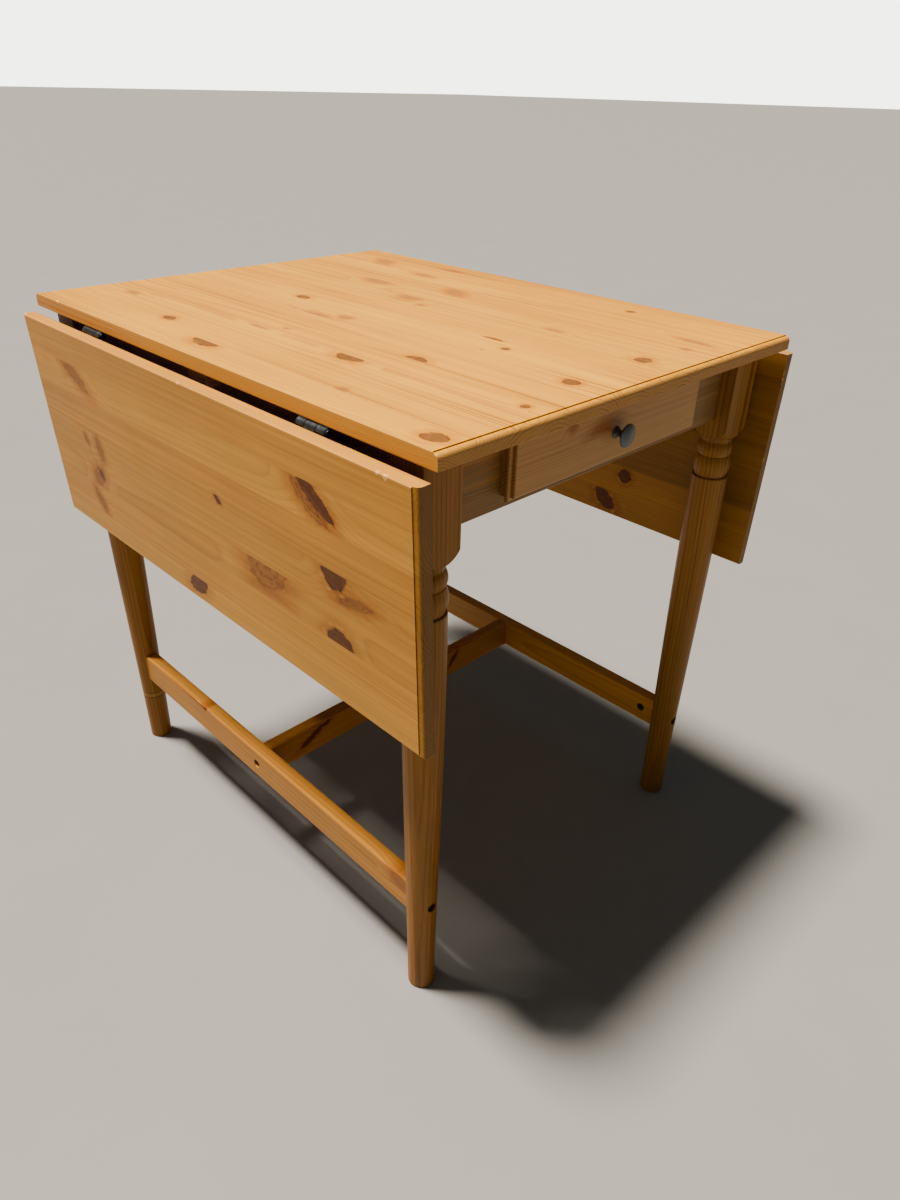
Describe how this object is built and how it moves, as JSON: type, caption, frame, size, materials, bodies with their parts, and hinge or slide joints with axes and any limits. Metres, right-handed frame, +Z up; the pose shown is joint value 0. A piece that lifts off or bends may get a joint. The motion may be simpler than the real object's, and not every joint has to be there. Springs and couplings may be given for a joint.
{
  "type": "drop leaf table",
  "caption": "Pine drop leaf table with two hinged leaves hanging down, turned legs, an H stretcher and a shallow drawer with a round iron knob.",
  "frame": {"origin": "on the floor, under the middle of the table top", "axes": "+Z up; X across the two leaves, left leaf at -X; Y along the hinge lines, drawer towards -Y"},
  "size_m": [0.6358, 0.78, 0.74],
  "materials": {
    "board_pine": "honey stained pine staves, satin lacquer",
    "turned_pine": "honey stained turned pine, satin lacquer",
    "rail_pine": "honey stained pine, satin lacquer",
    "raw_pine": "bare planed pine",
    "drawer_panel": "thin birch plywood",
    "hinge_steel": "gunmetal black steel, worn",
    "dark_steel": "blackened steel",
    "zinc_steel": "zinc plated steel",
    "knob_iron": "dark slate iron, satin"
  },
  "bodies": {
    "table_frame": {"centre_top": "board_pine", "front_left_leg": "turned_pine", "front_right_leg": "turned_pine", "rear_left_leg": "turned_pine", "rear_right_leg": "turned_pine", "front_apron": "rail_pine", "rear_apron": "rail_pine", "left_apron": "rail_pine", "right_apron": "rail_pine", "left_stretcher": "rail_pine", "right_stretcher": "rail_pine", "cross_stretcher": "rail_pine", "left_support_bar": "raw_pine", "right_support_bar": "raw_pine", "front_support_guide": "raw_pine", "rear_support_guide": "raw_pine", "left_support_keeper": "raw_pine", "right_support_keeper": "raw_pine", "support_stop_pins": "raw_pine", "left_drawer_runner": "raw_pine", "right_drawer_runner": "raw_pine", "leg_stretcher_bolts": "dark_steel", "leg_stretcher_barrel_nuts": "dark_steel", "cross_stretcher_bolts": "dark_steel", "cross_stretcher_barrel_nuts": "dark_steel", "hanger_bolts": "zinc_steel", "hanger_bolt_nuts": "zinc_steel", "corner_brackets": "zinc_steel", "corner_bracket_screws": "zinc_steel", "top_angle_brackets": "zinc_steel", "top_angle_bracket_screws": "zinc_steel", "support_guide_screws": "zinc_steel", "support_keeper_screws": "zinc_steel", "drawer_runner_screws": "zinc_steel", "left_top_hinge_flaps": "hinge_steel", "left_hinge_pins": "hinge_steel", "left_top_hinge_screws": "hinge_steel", "right_top_hinge_flaps": "hinge_steel", "right_hinge_pins": "hinge_steel", "right_top_hinge_screws": "hinge_steel"},
    "left_leaf": {"left_leaf": "board_pine", "left_leaf_hinge_flaps": "hinge_steel", "left_leaf_hinge_screws": "hinge_steel"},
    "right_leaf": {"right_leaf": "board_pine", "right_leaf_hinge_flaps": "hinge_steel", "right_leaf_hinge_screws": "hinge_steel"},
    "drawer": {"drawer_front": "rail_pine", "drawer_left_side": "raw_pine", "drawer_right_side": "raw_pine", "drawer_back": "raw_pine", "drawer_bottom": "drawer_panel", "drawer_dowels": "raw_pine", "drawer_bottom_screws": "zinc_steel", "drawer_knob": "knob_iron", "drawer_knob_screw": "zinc_steel", "drawer_stop": "raw_pine", "drawer_stop_screw": "zinc_steel"}
  },
  "joints": [
    {"name": "left_leaf_hinge", "type": "hinge", "parent": "table_frame", "child": "left_leaf", "pos_m": [-0.295, 0, 0.717], "axis": [0, 1, 0], "range_deg": [0, 92]},
    {"name": "right_leaf_hinge", "type": "hinge", "parent": "table_frame", "child": "right_leaf", "pos_m": [0.295, 0, 0.717], "axis": [0, -1, 0], "range_deg": [0, 92]},
    {"name": "drawer_slide", "type": "slide", "parent": "table_frame", "child": "drawer", "axis": [0, -1, 0], "range_m": [0, 0.264]}
  ]
}
